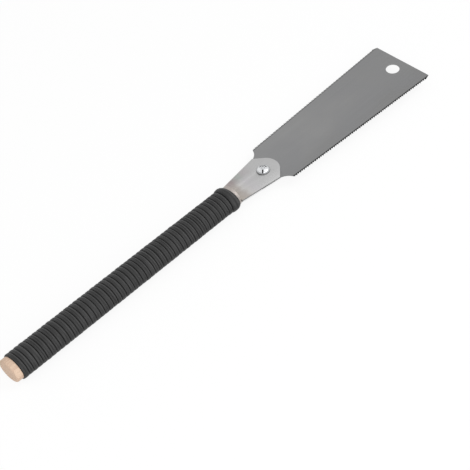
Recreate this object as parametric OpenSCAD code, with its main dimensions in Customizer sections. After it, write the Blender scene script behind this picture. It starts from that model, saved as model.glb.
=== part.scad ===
// Flush cut pull saw: a thin blade with teeth on both edges, clamped between
// two steel holder plates on an oval wooden handle wound with a flat strip.
// +X runs from the butt to the blade's tip and +Z is up, on the screw's side.
// The origin lies under the middle of the saw, on the surface it rests on.

/* [Blade] */
// Length of the blade from the heel to the tip
blade_l = 150; // [120:1:240]
// Width over the last teeth
tip_w = 57.6; // [50:0.2:70]
// Width over the teeth at the heel
heel_w = 46.4; // [42:0.2:50]
// Thickness of the blade sheet
blade_t = 0.5; // [0.4:0.1:1]
// Pitch of the crosscut teeth
cross_pitch = 1.5; // [1.2:0.1:2.5]
// Depth of the crosscut teeth
cross_depth = 1.2; // [0.8:0.1:1.6]
// Pitch of the rip teeth
rip_pitch = 2; // [1.5:0.1:3]
// Depth of the rip teeth
rip_depth = 1.3; // [0.8:0.1:1.8]
// Length of the plain corners between the last teeth and the tip
corner_l = 5; // [3:0.5:10]
// Depth of the plain corners
corner_d = 1.5; // [0.5:0.1:3]
// Diameter of the hanging hole
hang_hole_d = 11; // [6:0.5:14]
// Distance from the hanging hole's centre to the tip edge
hang_hole_in = 12; // [9:0.5:20]
// Length of the hollow shoulder between the heel and the neck
shoulder_l = 11; // [9:0.5:14]
// Radius of the hollow shoulder
shoulder_r = 11.5; // [10:0.5:40]
// Width of the neck where the shoulders end
neck_w = 29.4; // [26:0.2:32]
// Width of the tang between the holder plates
tang_w = 22; // [18:0.5:24]
// Length of the tang behind the clamp screw
tang_behind = 14; // [8:1:18]

/* [Holder] */
// Thickness of each holder plate
plate_t = 1; // [0.8:0.1:2]
// Width of the holder across its shoulders
holder_w = 30.5; // [28:0.5:36]
// Width of the holder where it leaves the handle
holder_base_w = 21; // [16:0.5:24]
// Length of the holder from the handle to the heel line of the teeth
holder_l = 44; // [39:1:60]
// Reach of the rounded nose past the heel line
nose_reach = 2.3; // [0:0.1:6]
// Radius of the nose
nose_r = 12; // [9:0.5:13]
// Angle of the flanks beside the nose
nose_angle = 45; // [40:1:55]
// Length of the plates' tails inside the handle
tail_l = 40; // [30:1:60]
// Width of the plates' tails
tail_w = 13; // [10:0.5:15]
// Diameter of the two pins that hold the tails
pin_d = 3; // [2:0.5:4]

/* [Clamp screw] */
// Diameter of the screw's shank
screw_d = 5; // [4:0.5:6]
// Distance of the screw behind the heel line
screw_behind = 11.2; // [10:0.1:15]
// Diameter of the screw's head
head_d = 8.8; // [7:0.1:9.5]
// Height of the screw's head
head_h = 1.6; // [1.4:0.1:3]
// Height of the straight rim of the head
head_rim = 0.5; // [0.3:0.1:1]
// Length of the cross recess
recess_l = 5; // [3:0.1:6]
// Width of the cross recess
recess_w = 1.2; // [0.8:0.1:1.6]
// Depth of the cross recess
recess_d = 1.1; // [0.6:0.1:1.2]
// Diameter of the washer
washer_d = 10.6; // [10:0.1:13]
// Thickness of the washer
washer_t = 0.6; // [0.5:0.1:1.5]
// Diameter of the clinch nut under the holder
nut_d = 9.5; // [9:0.1:12]
// Height of the clinch nut under the holder
nut_h = 2.6; // [2:0.1:3.5]

/* [Handle] */
// Length of the handle with its ferrule
handle_l = 220; // [160:1:300]
// Width of the oval wooden core at the butt
butt_w = 21; // [18:0.2:26]
// Height of the oval wooden core at the butt
butt_h = 16.7; // [14:0.1:20]
// Width of the oval wooden core at the ferrule
core_w = 19.4; // [18:0.2:24]
// Height of the oval wooden core at the ferrule
core_h = 15.5; // [14:0.1:19]
// Rounding of the butt's edge
butt_round = 1.5; // [1:0.5:4]
// Length of bare wood behind the winding
bare_butt = 5.5; // [4:0.5:20]
// Wall of the ferrule
ferrule_t = 0.6; // [0.5:0.1:0.8]
// Length of the ferrule that shows in front of the winding
ferrule_show = 2.2; // [2:0.1:6]
// Turns of the winding behind its collar
wrap_turns = 49; // [30:1:58]
// Thickness of the wound strip
strip_t = 1.3; // [1:0.1:2]
// Greatest width of the collar that the last turn makes
collar_w = 8; // [6:0.5:11]
// Slant of the collar's front edge across the handle
collar_slant = 2.6; // [0:0.1:4]
// Rise of the collar above the other turns
collar_rise = 0.7; // [0.3:0.1:1]
// Gap between neighbouring turns
turn_gap = 0.65; // [0.5:0.05:1]
// Depth of the flat that the winding rests on
rest_flat = 0.5; // [0.4:0.05:0.6]

/* [Clearances] */
// Running clearance on each face of the blade
blade_clear = 0.05; // [0.03:0.01:0.1]
// Clearance of pieces that seat in one another
seat_clear = 0.05; // [0.03:0.01:0.1]
// Clearance of the blade's slot and the plates' holes round the screw
slot_clear = 0.3; // [0.2:0.05:0.5]

/* [Hidden] */
$fn = 64;
oval_sides = 48;
arc_sides = 10;
cut = 1;
slice_t = 0.01;
round_step = 15;

// Lengthwise stations, from the butt to the tip
overall_l = handle_l + holder_l + blade_l;
butt_x = -overall_l / 2;
front_x = butt_x + handle_l;
heel_x = front_x + holder_l;
tip_x = heel_x + blade_l;
teeth_l = blade_l - corner_l;
root_x = heel_x - shoulder_l;
screw_x = heel_x - screw_behind;
tang_x = screw_x - tang_behind;
tail_x = front_x - tail_l;
ferrule_l = ferrule_show + collar_w;
ferrule_x = front_x - ferrule_l;
core_x1 = front_x - ferrule_t;
spacer_x = tang_x - slot_clear;
pin_xs = [tail_x + tail_l / 4, tail_x + tail_l * 5 / 8];

// Winding: rings of an even count per turn, with one flat side facing down
ring_n = 12;
ring_step = 360 / ring_n;
ring_start = -90 + ring_step / 2;
ring_swell = 1 / cos(ring_step / 2);
wrap_x0 = butt_x + bare_butt;
wrap_x1 = front_x - ferrule_show;
collar_x = wrap_x1 - collar_w;
wrap_pitch = (collar_x - turn_gap - wrap_x0) / (wrap_turns + 1 / 2);
strip_w = wrap_pitch - turn_gap;
collar_ring = wrap_turns * ring_n;
last_ring = collar_ring + ring_n - 1;
rise_rings = 4;
shoulder_share = 0.55;
crown_share = 0.28;

// Heights
mid_z = max(wrap_b(wrap_x0), wrap_b(wrap_x1) + collar_rise) + strip_t - rest_flat;
plate_gap = blade_t + 2 * blade_clear;
top_plate_z = mid_z + plate_gap / 2;
under_plate_z = mid_z - plate_gap / 2 - plate_t;
washer_z = top_plate_z + plate_t;
head_z = washer_z + washer_t;
nut_z = under_plate_z - nut_h;
stack_h = plate_gap + 2 * plate_t;

// Holder's nose: a round end between two straight flanks
nose_x = heel_x + nose_reach - nose_r;
flank_x = nose_x + nose_r * cos(nose_angle);
flank_y = nose_r * sin(nose_angle);
holder_shoulder_x = nose_x + (nose_r - holder_w / 2 * sin(nose_angle)) / cos(nose_angle);

// Screw and nut
dome_h = head_h - head_rim;
head_dome_r = (dome_h ^ 2 + (head_d / 2) ^ 2) / (2 * dome_h);
recess_turn = 50;
screw_tip = 0.6;
nut_spigot_d = screw_d + 1.6;

// Teeth lean towards the handle, because the saw cuts on the pull
cross_lean = 0.32;
rip_lean = 0.12;

function ease(t) = let (c = min(1, max(0, t))) c * c * (3 - 2 * c);

function edge_y(x) = (heel_w + (tip_w - heel_w) * (x - heel_x) / teeth_l) / 2;

// Tips and gullets of one toothed edge on the +Y side, from the heel's corner to the tip's
function tooth_row(pitch, depth, lean) =
    let (count = floor(teeth_l / pitch), step = teeth_l / count)
    concat([for (i = [0:count - 1], k = [0:1])
        let (x = heel_x + step * (i + k * (1 - lean)))
        [x, edge_y(x) - k * depth]], [[tip_x - corner_l, tip_w / 2], [tip_x, tip_w / 2 - corner_d]]);

// Hollow arc on the +Y side, from the heel's corner to the neck
function shoulder_arc() =
    let (heel = [heel_x, heel_w / 2], root = [root_x, neck_w / 2],
         chord = root - heel, outward = [chord[1], -chord[0]] / norm(chord),
         centre = (heel + root) / 2 + outward * sqrt(shoulder_r ^ 2 - chord * chord / 4),
         start = atan2(heel[1] - centre[1], heel[0] - centre[0]),
         turn = atan2(root[1] - centre[1], root[0] - centre[0]) - start)
    [for (i = [1:arc_sides])
        let (a = start + turn * i / arc_sides)
        centre + shoulder_r * [cos(a), sin(a)]];

function reversed(points) = [for (i = [len(points) - 1:-1:0]) points[i]];
function mirrored(points) = [for (p = points) [p[0], -p[1]]];

function oval_points(a, b) =
    [for (i = [0:oval_sides - 1]) [a * cos(360 * i / oval_sides), b * sin(360 * i / oval_sides)]];

// Half sizes of the tapered core at a station, and those of the winding's inner side
function taper(butt, front, x) = (front + (butt - front) * (ferrule_x - x) / (ferrule_x - butt_x)) / 2;
function core_a(x) = taper(butt_w, core_w, min(x, ferrule_x));
function core_b(x) = taper(butt_h, core_h, min(x, ferrule_x));
function wrap_a(x) = (core_a(x) + seat_clear) * ring_swell;
function wrap_b(x) = (core_b(x) + seat_clear) * ring_swell;

// Edges of the strip at a ring; the first turn starts square and the collar ends on a slant
function strip_back(j) =
    j > collar_ring ? collar_x : wrap_x0 + (j < ring_n - 1 ? 0 : wrap_pitch * j / ring_n);
function strip_front(j) =
    j > collar_ring ? wrap_x1 - collar_slant * (1 + cos(ring_start + ring_step * j)) / 2
    : j > collar_ring - ring_n ? collar_x - turn_gap
    : wrap_x0 + wrap_pitch * j / ring_n + strip_w;

// The last turn swells to the collar
function strip_top(j) = strip_t + collar_rise * ease((j - collar_ring + rise_rings) / rise_rings);

// Section of the strip at a ring: flat underneath and crowned on top
function strip_section(j) =
    let (x0 = strip_back(j), x1 = strip_front(j), top = strip_top(j),
         crown = min(strip_w, x1 - x0) * crown_share)
    [[x0, 0], [x1, 0], [x1, top * shoulder_share], [x1 - crown, top],
     [x0 + crown, top], [x0, top * shoulder_share]];

function strip_ring(j) =
    let (turn = ring_start + ring_step * j)
    [for (p = strip_section(j))
        [p[0], (wrap_a(p[0]) + p[1]) * cos(turn), max(-mid_z, (wrap_b(p[0]) + p[1]) * sin(turn))]];

module oval(a, b) {
    polygon(oval_points(a, b));
}

// Stands an outline drawn across the handle up at a station along it
module along_handle(x, length) {
    translate([x, 0, mid_z])
        rotate([90, 0, 90])
            linear_extrude(length)
                children();
}

module at_screw(z) {
    translate([screw_x, 0, z])
        children();
}

module at_pins() {
    for (x = pin_xs) {
        translate([x, 0])
            children();
    }
}

// One side of the outline runs from the end of the tang to the tip
module blade_outline() {
    tang = [[tang_x, tang_w / 2], [root_x - (neck_w - tang_w) / 2, tang_w / 2]];
    neck = concat(tang, reversed(shoulder_arc()));
    cross = concat(neck, tooth_row(cross_pitch, cross_depth, cross_lean));
    rip = concat(neck, tooth_row(rip_pitch, rip_depth, rip_lean));
    slot_w = screw_d + 2 * slot_clear;
    difference() {
        polygon(concat(cross, mirrored(reversed(rip))));
        translate([screw_x, 0])
            circle(d = slot_w);
        translate([tang_x - cut, -slot_w / 2])
            square([tang_behind + cut, slot_w]);
        translate([tip_x - hang_hole_in, 0])
            circle(d = hang_hole_d);
    }
}

module blade() {
    color("#8a8b8c")
        translate([0, 0, mid_z - blade_t / 2])
            linear_extrude(blade_t)
                blade_outline();
}

// Plate that widens from the handle to its shoulders and ends in a round nose
module plate_outline() {
    polygon([[tail_x, -tail_w / 2], [front_x, -tail_w / 2], [front_x, -holder_base_w / 2],
             [holder_shoulder_x, -holder_w / 2], [flank_x, -flank_y], [flank_x, flank_y],
             [holder_shoulder_x, holder_w / 2], [front_x, holder_base_w / 2],
             [front_x, tail_w / 2], [tail_x, tail_w / 2]]);
    translate([nose_x, 0])
        circle(r = nose_r);
}

module holder_plate(z, hole_d) {
    color("#bdbcbc")
        translate([0, 0, z])
            linear_extrude(plate_t)
                difference() {
                    plate_outline();
                    translate([screw_x, 0])
                        circle(d = hole_d);
                    at_pins()
                        circle(d = pin_d + 2 * seat_clear);
                }
}

module holder_top_plate() {
    holder_plate(top_plate_z, screw_d + 2 * slot_clear);
}

module holder_under_plate() {
    holder_plate(under_plate_z, nut_spigot_d + 2 * seat_clear);
}

// Fills the space between the plates behind the tang
module plate_spacer() {
    color("#a9a9a8")
        translate([0, 0, mid_z - plate_gap / 2])
            linear_extrude(plate_gap)
                difference() {
                    intersection() {
                        plate_outline();
                        translate([tail_x, -holder_w / 2])
                            square([spacer_x - tail_x, holder_w]);
                    }
                    at_pins()
                        circle(d = pin_d + 2 * seat_clear);
                }
}

module tail_pins() {
    color("#9a9a9a")
        translate([0, 0, mid_z - core_h / 2 + seat_clear])
            at_pins()
                cylinder(d = pin_d, h = core_h - 2 * seat_clear);
}

module clamp_screw() {
    color("#e2e3e4")
        at_screw(head_z) {
            difference() {
                intersection() {
                    cylinder(d = head_d, h = head_h);
                    translate([0, 0, head_h - head_dome_r])
                        sphere(r = head_dome_r);
                }
                for (turn = [0, 90]) {
                    rotate([0, 0, recess_turn + turn])
                        translate([-recess_l / 2, -recess_w / 2, head_h - recess_d])
                            cube([recess_l, recess_w, recess_d + cut]);
                }
            }
            translate([0, 0, nut_z - head_z - screw_tip])
                cylinder(d = screw_d, h = head_z - nut_z + screw_tip);
        }
}

module screw_washer() {
    color("#d2d3d4")
        at_screw(washer_z)
            linear_extrude(washer_t)
                difference() {
                    circle(d = washer_d);
                    circle(d = screw_d + 2 * seat_clear);
                }
}

// Round nut with a spigot that is clinched into the under plate
module clinch_nut() {
    color("#c6c7c8")
        at_screw(nut_z)
            difference() {
                union() {
                    cylinder(d = nut_d, h = nut_h);
                    cylinder(d = nut_spigot_d, h = nut_h + plate_t);
                }
                translate([0, 0, -cut])
                    cylinder(d = screw_d + 2 * seat_clear, h = nut_h + plate_t + 2 * cut);
            }
}

// Oval cap on the front of the core, flush with the wood and slotted for the holder
module ferrule() {
    color("#cfc8c2")
        difference() {
            along_handle(ferrule_x, ferrule_l)
                oval(core_w / 2, core_h / 2);
            along_handle(ferrule_x - cut, ferrule_l - ferrule_t + cut)
                oval(core_w / 2 - ferrule_t, core_h / 2 - ferrule_t);
            mortise();
        }
}

// Slot for the plates' tails
module mortise() {
    translate([tail_x - seat_clear, -tail_w / 2 - seat_clear, mid_z - stack_h / 2 - seat_clear])
        cube([tail_l + seat_clear + cut, tail_w + 2 * seat_clear, stack_h + 2 * seat_clear]);
}

// Tapered oval bar with a spigot for the ferrule
module handle_core() {
    spigot_in = ferrule_t + seat_clear;
    color("#dfc2aa")
        difference() {
            union() {
                hull() {
                    for (turn = [0:round_step:90]) {
                        inset = butt_round * (1 - sin(turn));
                        along_handle(butt_x + butt_round * (1 - cos(turn)), slice_t)
                            oval(butt_w / 2 - inset, butt_h / 2 - inset);
                    }
                    along_handle(ferrule_x - slice_t, slice_t)
                        oval(core_w / 2, core_h / 2);
                }
                along_handle(ferrule_x - cut, core_x1 - ferrule_x + cut)
                    oval(core_w / 2 - spigot_in, core_h / 2 - spigot_in);
            }
            mortise();
            translate([0, 0, mid_z - butt_h])
                at_pins()
                    cylinder(d = pin_d + 2 * seat_clear, h = 2 * butt_h);
        }
}

// One unbroken strip wound round the core from the butt to the ferrule
module grip_winding() {
    rings = [for (j = [0:last_ring]) strip_ring(j)];
    sides = len(rings[0]);
    points = [for (ring = rings, p = ring) [p[0], p[1], p[2] + mid_z]];
    walls = [for (j = [0:last_ring - 1], k = [0:sides - 1])
        let (a = j * sides + k, b = j * sides + (k + 1) % sides)
        each [[a, a + sides, b + sides], [a, b + sides, b]]];
    back_end = [for (k = [1:sides - 2]) [0, k, k + 1]];
    first = last_ring * sides;
    front_end = [for (k = [1:sides - 2]) [first, first + k + 1, first + k]];
    gaps = [for (j = [0:last_ring - ring_n], side = [[1, 0], [2, 5]])
        norm(rings[j + ring_n][side[1]] - rings[j][side[0]])];
    echo(str("least gap between turns ", min(gaps), " mm"));
    color("#3b3b3c")
        polyhedron(points, concat(walls, back_end, front_end));
}

blade();
holder_top_plate();
holder_under_plate();
plate_spacer();
tail_pins();
clamp_screw();
screw_washer();
clinch_nut();
ferrule();
handle_core();
grip_winding();
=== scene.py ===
"""Flush cut pull saw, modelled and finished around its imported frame.

Places and sizes come from the frame's nodes; each sub-assembly is a class that models its own
pieces, gives them a finish and sets them riding on their bodies.
"""

import logging
import math
from contextlib import contextmanager
from dataclasses import dataclass
from enum import Enum
from typing import Any, Callable, ClassVar, Iterator

import bmesh
import bpy
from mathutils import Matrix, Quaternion, Vector


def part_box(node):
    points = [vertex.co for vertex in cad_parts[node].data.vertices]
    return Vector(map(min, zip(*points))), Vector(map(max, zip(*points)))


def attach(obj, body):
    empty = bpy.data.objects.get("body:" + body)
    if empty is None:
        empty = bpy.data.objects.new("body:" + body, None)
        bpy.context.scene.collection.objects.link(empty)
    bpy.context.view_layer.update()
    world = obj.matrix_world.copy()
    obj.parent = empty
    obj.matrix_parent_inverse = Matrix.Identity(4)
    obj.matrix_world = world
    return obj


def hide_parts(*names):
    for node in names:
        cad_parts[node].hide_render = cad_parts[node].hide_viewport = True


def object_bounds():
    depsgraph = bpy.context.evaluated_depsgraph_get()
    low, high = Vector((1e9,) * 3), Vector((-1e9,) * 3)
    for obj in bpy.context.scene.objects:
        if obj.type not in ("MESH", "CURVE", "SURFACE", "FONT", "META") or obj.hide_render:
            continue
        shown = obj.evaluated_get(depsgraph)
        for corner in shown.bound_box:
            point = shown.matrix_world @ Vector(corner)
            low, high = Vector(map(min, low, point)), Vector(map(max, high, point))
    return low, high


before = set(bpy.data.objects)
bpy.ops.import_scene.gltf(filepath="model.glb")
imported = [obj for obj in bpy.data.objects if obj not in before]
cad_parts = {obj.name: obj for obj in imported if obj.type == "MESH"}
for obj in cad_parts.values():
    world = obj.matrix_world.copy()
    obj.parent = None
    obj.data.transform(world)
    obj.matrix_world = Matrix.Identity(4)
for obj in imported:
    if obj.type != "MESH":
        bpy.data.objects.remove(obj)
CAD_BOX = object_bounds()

LOG = logging.getLogger("saw")
MM = 0.001
NEAR = 0.005 * MM
WELD = 0.002 * MM
FOLD = math.radians(40)
SMOOTH = math.radians(35)
FACING = 0.5
FULL_TURN = 2 * math.pi

Span = tuple[float, float]
Triple = tuple[float, float, float]
Colour = tuple[float, float, float, float]
Stops = tuple[tuple[float, Colour], ...]
Feed = Any


def grey(level: float) -> Colour:
    """Neutral colour of one linear level."""
    return (level, level, level, 1.0)


def ease(share: float) -> float:
    """Smooth step from 0 to 1 over a share from 0 to 1."""
    held = min(1.0, max(0.0, share))
    return held * held * (3 - 2 * held)


def box_middle(node: str) -> Vector:
    """Middle of a node's box."""
    low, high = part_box(node)
    return (low + high) / 2


def pin_places() -> list[Vector]:
    """Places of the two tail pins along the handle.

    Returns:
        A point on each pin's axis, found at the ends of the pins' common box.
    """
    low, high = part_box("tail_pins")
    radius = (high.y - low.y) / 2
    return [Vector((x, 0, 0)) for x in (low.x + radius, high.x - radius)]


class Signal:
    """A node's output socket, whose arithmetic adds Math nodes."""

    def __init__(self, sheet: "NodeSheet", socket: bpy.types.NodeSocket) -> None:
        """Wraps a socket of a sheet."""
        self.sheet = sheet
        self.socket = socket

    def __add__(self, other: Feed) -> "Signal":
        """Sum of two values."""
        return self.sheet.math("ADD", self, other)

    def __sub__(self, other: Feed) -> "Signal":
        """Difference of two values."""
        return self.sheet.math("SUBTRACT", self, other)

    def __rsub__(self, other: Feed) -> "Signal":
        """Difference from a plain number."""
        return self.sheet.math("SUBTRACT", other, self)

    def __mul__(self, other: Feed) -> "Signal":
        """Product of two values."""
        return self.sheet.math("MULTIPLY", self, other)

    def __truediv__(self, other: Feed) -> "Signal":
        """Quotient of two values."""
        return self.sheet.math("DIVIDE", self, other)

    def __pow__(self, other: Feed) -> "Signal":
        """Power of a value."""
        return self.sheet.math("POWER", self, other)

    def __abs__(self) -> "Signal":
        """Value without its sign."""
        return self.sheet.math("ABSOLUTE", self)

    def above(self, edge: Feed) -> "Signal":
        """One where the value is over an edge, else zero."""
        return self.sheet.math("GREATER_THAN", self, edge)

    def step(self, low: float, high: float) -> "Signal":
        """Smooth rise from 0 at one value to 1 at another.

        Args:
            low: Value where the rise starts.
            high: Value where it ends.

        Returns:
            The risen value, held between 0 and 1.
        """
        return self.sheet.tap("ShaderNodeMapRange", {"interpolation_type": "SMOOTHSTEP"},
                              {"Value": self, "From Min": low, "From Max": high})

    def about(self, level: float, play: float) -> "Signal":
        """Turns noise about one half into a value within a play about a level."""
        return self * play + (level - play / 2)


class NodeSheet:
    """Node tree of one finish, filled node by node."""

    def __init__(self, tree: bpy.types.NodeTree) -> None:
        """Empties a tree to start from."""
        self.tree = tree
        tree.nodes.clear()

    def add(self, kind: str, settings: dict[str, Any] | None = None,
            inputs: dict[str | int, Feed] | None = None) -> bpy.types.Node:
        """Adds a node, sets it up and then fills its sockets.

        Args:
            kind: Type of the node.
            settings: Its properties; a ramp's stops are (place, colour) pairs under "stops".
            inputs: Values or signals by socket name or number.

        Returns:
            The node.
        """
        node = self.tree.nodes.new(kind)
        for name, value in (settings or {}).items():
            if name == "stops":
                self.set_stops(node.color_ramp, value)
            else:
                setattr(node, name, value)
        for name, value in (inputs or {}).items():
            if isinstance(value, Signal):
                self.tree.links.new(value.socket, node.inputs[name])
            else:
                node.inputs[name].default_value = value
        return node

    def tap(self, kind: str, settings: dict[str, Any] | None = None,
            inputs: dict[str | int, Feed] | None = None, output: str | int = 0) -> Signal:
        """Adds a node and takes up one of its outputs.

        Args:
            kind: Type of the node.
            settings: Its properties.
            inputs: Values or signals by socket name or number.
            output: Name or number of the output.

        Returns:
            The output's value.
        """
        return Signal(self, self.add(kind, settings, inputs).outputs[output])

    @staticmethod
    def set_stops(ramp: bpy.types.ColorRamp, stops: Stops) -> None:
        """Fills a colour ramp.

        Args:
            ramp: Ramp with its two first stops.
            stops: Places and colours in order.
        """
        while len(ramp.elements) < len(stops):
            ramp.elements.new(1.0)
        for element, (place, colour) in zip(ramp.elements, stops):
            element.position = place
            element.color = colour

    def math(self, operation: str, *values: Feed) -> Signal:
        """Value of a Math node.

        Args:
            operation: Operation of the node.
            values: Its operands, numbers or signals.

        Returns:
            The result.
        """
        return self.tap("ShaderNodeMath", {"operation": operation}, dict(enumerate(values)))

    def place(self, kind: str = "Object") -> Signal:
        """Object coordinates in metres, or coordinates of another kind."""
        return self.tap("ShaderNodeTexCoord", output=kind)

    def axes(self, place: Signal) -> tuple[Signal, Signal, Signal]:
        """Splits a place into its X, Y and Z."""
        node = self.add("ShaderNodeSeparateXYZ", None, {"Vector": place})
        return tuple(Signal(self, socket) for socket in node.outputs)

    def grain(self, place: Signal, spans: Triple, detail: float = 2.0) -> Signal:
        """Noise whose spots have given spans.

        Args:
            place: Coordinates.
            spans: Length of a spot along X, Y and Z, in the coordinates' unit.
            detail: Levels of finer noise.

        Returns:
            Noise about one half.
        """
        scaled = self.tap("ShaderNodeVectorMath", {"operation": "DIVIDE"}, {0: place, 1: spans})
        return self.tap("ShaderNodeTexNoise", None, {"Vector": scaled, "Scale": 1.0, "Detail": detail})

    def blend(self, share: Feed, first: Feed, second: Feed) -> Signal:
        """Colour between two colours.

        Args:
            share: Share of the second colour.
            first: First colour.
            second: Second colour.

        Returns:
            The blended colour.
        """
        return self.tap("ShaderNodeMix", {"data_type": "RGBA"}, {0: share, 6: first, 7: second}, 2)

    def ramp(self, share: Signal, stops: Stops) -> Signal:
        """Colour at a share of the way along a ramp of stops."""
        return self.tap("ShaderNodeValToRGB", {"stops": stops}, {"Fac": share}, "Color")

    def relief(self, height: Signal, depth: float) -> Signal:
        """Normal of a surface with a fine relief.

        Args:
            height: Relief from 0 to 1.
            depth: Its full depth in metres.

        Returns:
            The bumped normal.
        """
        inputs = {"Strength": 1.0, "Distance": depth, "Height": height}
        return self.tap("ShaderNodeBump", None, inputs, "Normal")

    def surface(self, **inputs: Feed) -> Signal:
        """Principled surface.

        Args:
            inputs: Values or signals by socket name, with _ for a space.

        Returns:
            The shader.
        """
        named = {name.replace("_", " "): value for name, value in inputs.items()}
        return self.tap("ShaderNodeBsdfPrincipled", None, named)

    def two_faced(self, light: Signal, shown: Signal) -> Signal:
        """Shader that lights the scene in one way and is seen in another, also in metal or through glass.

        Args:
            light: Shader for the light.
            shown: Shader for what is seen.

        Returns:
            The mixed shader.
        """
        path = self.add("ShaderNodeLightPath").outputs
        rays = [Signal(self, path[f"Is {kind} Ray"]) for kind in ("Camera", "Glossy", "Transmission")]
        seen = self.math("MAXIMUM", self.math("MAXIMUM", rays[0], rays[1]), rays[2])
        return self.tap("ShaderNodeMixShader", None, {0: seen, 1: light, 2: shown})


@dataclass(frozen=True)
class Finish:
    """Surface finish of a kind of piece."""

    name: str = "finish"

    def material(self) -> bpy.types.Material:
        """Makes the finish's material.

        Returns:
            The material.
        """
        made = bpy.data.materials.new(self.name)
        made.use_nodes = True
        sheet = NodeSheet(made.node_tree)
        sheet.add("ShaderNodeOutputMaterial", None, {"Surface": self.paint(sheet)})
        return made

    def paint(self, sheet: NodeSheet) -> Signal:
        """Draws the finish's nodes and returns their shader."""
        raise NotImplementedError


@dataclass(frozen=True)
class BladeSteel(Finish):
    """Satin spring steel, ground lengthwise, with a dark band of painted shade along the row of teeth on
    each edge.
    """

    name: str = "blade_steel"
    heel_level: float = 0.262
    tip_level: float = 0.228
    shaded_level: float = 0.196
    shaded_share: float = 0.55
    shaded_y: Span = (-22 * MM, -2 * MM)
    cloud: Colour = (0.222, 0.224, 0.23, 1.0)
    cloud_share: float = 0.6
    cloud_band: Span = (0.3, 0.7)
    cloud_spans: Triple = (45 * MM, 30 * MM, 1.0)
    line_level: float = 0.4
    line_share: float = 0.12
    line_band: Span = (0.3, 0.75)
    line_spans: Triple = (60 * MM, 0.25 * MM, 1.0)
    line_depth: float = 0.004 * MM
    rip_shade_level: float = 0.03
    cross_shade_level: float = 0.14
    tooth_band: Span = (1.26 * MM, 2.1 * MM)
    tooth_start: float = -0.01
    heel_x: float = 0.0
    heel_half: float = 0.0
    slope: float = 0.0
    length: float = 1.0
    roughness: float = 0.4
    rough_play: float = 0.12

    def paint(self, sheet: NodeSheet) -> Signal:
        """Draws ground steel with painted shade that darkens it towards the tip, on its -Y side and along
        its teeth.

        Args:
            sheet: Empty node sheet of the material.

        Returns:
            The shader.
        """
        place = sheet.place()
        x, y, _ = sheet.axes(place)
        along = (x - self.heel_x) / self.length
        lines = sheet.grain(place, self.line_spans, 3.0)
        clouds = sheet.grain(place, self.cloud_spans)
        # Painted shade: the steel darkens from heel to tip and towards its -Y side.
        body = sheet.blend(along.step(0.0, 1.0), grey(self.heel_level), grey(self.tip_level))
        shaded = (1 - y.step(*self.shaded_y)) * self.shaded_share
        body = sheet.blend(shaded, body, grey(self.shaded_level))
        body = sheet.blend(clouds.step(*self.cloud_band) * self.cloud_share, body, self.cloud)
        body = sheet.blend(lines.step(*self.line_band) * self.line_share, body, grey(self.line_level))
        inward = (x - self.heel_x) * self.slope + self.heel_half - abs(y)
        # Painted shade of the ground teeth: a dark band along each row, deeper on the rip row.
        teeth = 1 - inward.step(*self.tooth_band)
        row = sheet.blend(y.above(0.0), grey(self.rip_shade_level), grey(self.cross_shade_level))
        colour = sheet.blend(teeth * along.above(self.tooth_start), body, row)
        return sheet.surface(Base_Color=colour, Metallic=1.0,
                             Roughness=lines.about(self.roughness, self.rough_play),
                             Normal=sheet.relief(lines, self.line_depth))


@dataclass(frozen=True)
class HolderSteel(Finish):
    """Satin plate with a faint tint where it leaves the handle, partly temper colour and partly painted
    reflection.

    The cut edge has painted shade on the upper plate and a painted reflection on the lower one.
    """

    name: str = "holder_steel"
    base_x: float = 0.0
    mid_z: float = 0.0
    face_half: float = 1.0
    face_band: Span = (0.2 * MM, 0.06 * MM)
    level: ClassVar[float] = 0.455
    tint_length: float = 30 * MM
    tint_sway: float = 0.16
    middle_tint: Stops = ((0.08, (0.39, 0.355, 0.32, 1.0)), (0.22, (0.39, 0.36, 0.34, 1.0)),
                          (0.33, (0.49, 0.48, 0.47, 1.0)), (0.5, (0.47, 0.46, 0.47, 1.0)),
                          (0.8, grey(level)))
    side_tint: Stops = ((0.08, (0.36, 0.32, 0.31, 1.0)), (0.24, (0.32, 0.275, 0.275, 1.0)),
                        (0.38, (0.36, 0.345, 0.34, 1.0)), (0.5, (0.365, 0.39, 0.37, 1.0)),
                        (0.64, (0.41, 0.39, 0.395, 1.0)), (1.0, grey(level)))
    side_y: Span = (3 * MM, 9 * MM)
    side_sway: float = 6 * MM
    cloud_spans: Triple = (7 * MM, 5 * MM, 1.0)
    line_level: float = 0.6
    line_share: float = 0.1
    line_band: Span = (0.3, 0.75)
    line_spans: Triple = (40 * MM, 0.3 * MM, 1.0)
    line_depth: float = 0.004 * MM
    edge_shade_level: float = 0.30
    edge_reflection_level: float = 0.85
    cut_band: float = 0.1 * MM
    roughness: float = 0.36
    rough_play: float = 0.16

    def paint(self, sheet: NodeSheet) -> Signal:
        """Draws brushed steel whose tint, partly temper colour and partly painted reflection, is strongest
        along its +Y side.

        Args:
            sheet: Empty node sheet of the material.

        Returns:
            The shader.
        """
        place = sheet.place()
        x, y, z = sheet.axes(place)
        lines = sheet.grain(place, self.line_spans, 3.0)
        sway = sheet.grain(place, self.cloud_spans, 1.0) - 0.5
        # The tint near the handle is partly temper colour and partly painted reflection of the ferrule and
        # wood.
        along = (x - self.base_x) / self.tint_length + sway * self.tint_sway
        side = (y + sway * self.side_sway).step(*self.side_y)
        tint = sheet.blend(side, sheet.ramp(along, self.middle_tint), sheet.ramp(along, self.side_tint))
        colour = sheet.blend(lines.step(*self.line_band) * self.line_share, tint, grey(self.line_level))
        # The upper plate's cut edge carries painted shade, the lower plate's a painted reflection.
        over_middle = z - self.mid_z
        face = abs(over_middle).step(*(self.face_half - inset for inset in self.face_band))
        upper = over_middle.step(-self.cut_band, self.cut_band)
        wall = sheet.blend(upper, grey(self.edge_reflection_level), grey(self.edge_shade_level))
        return sheet.surface(Base_Color=sheet.blend(face, wall, colour), Metallic=1.0,
                             Roughness=lines.about(self.roughness, self.rough_play),
                             Normal=sheet.relief(lines, self.line_depth))


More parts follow.
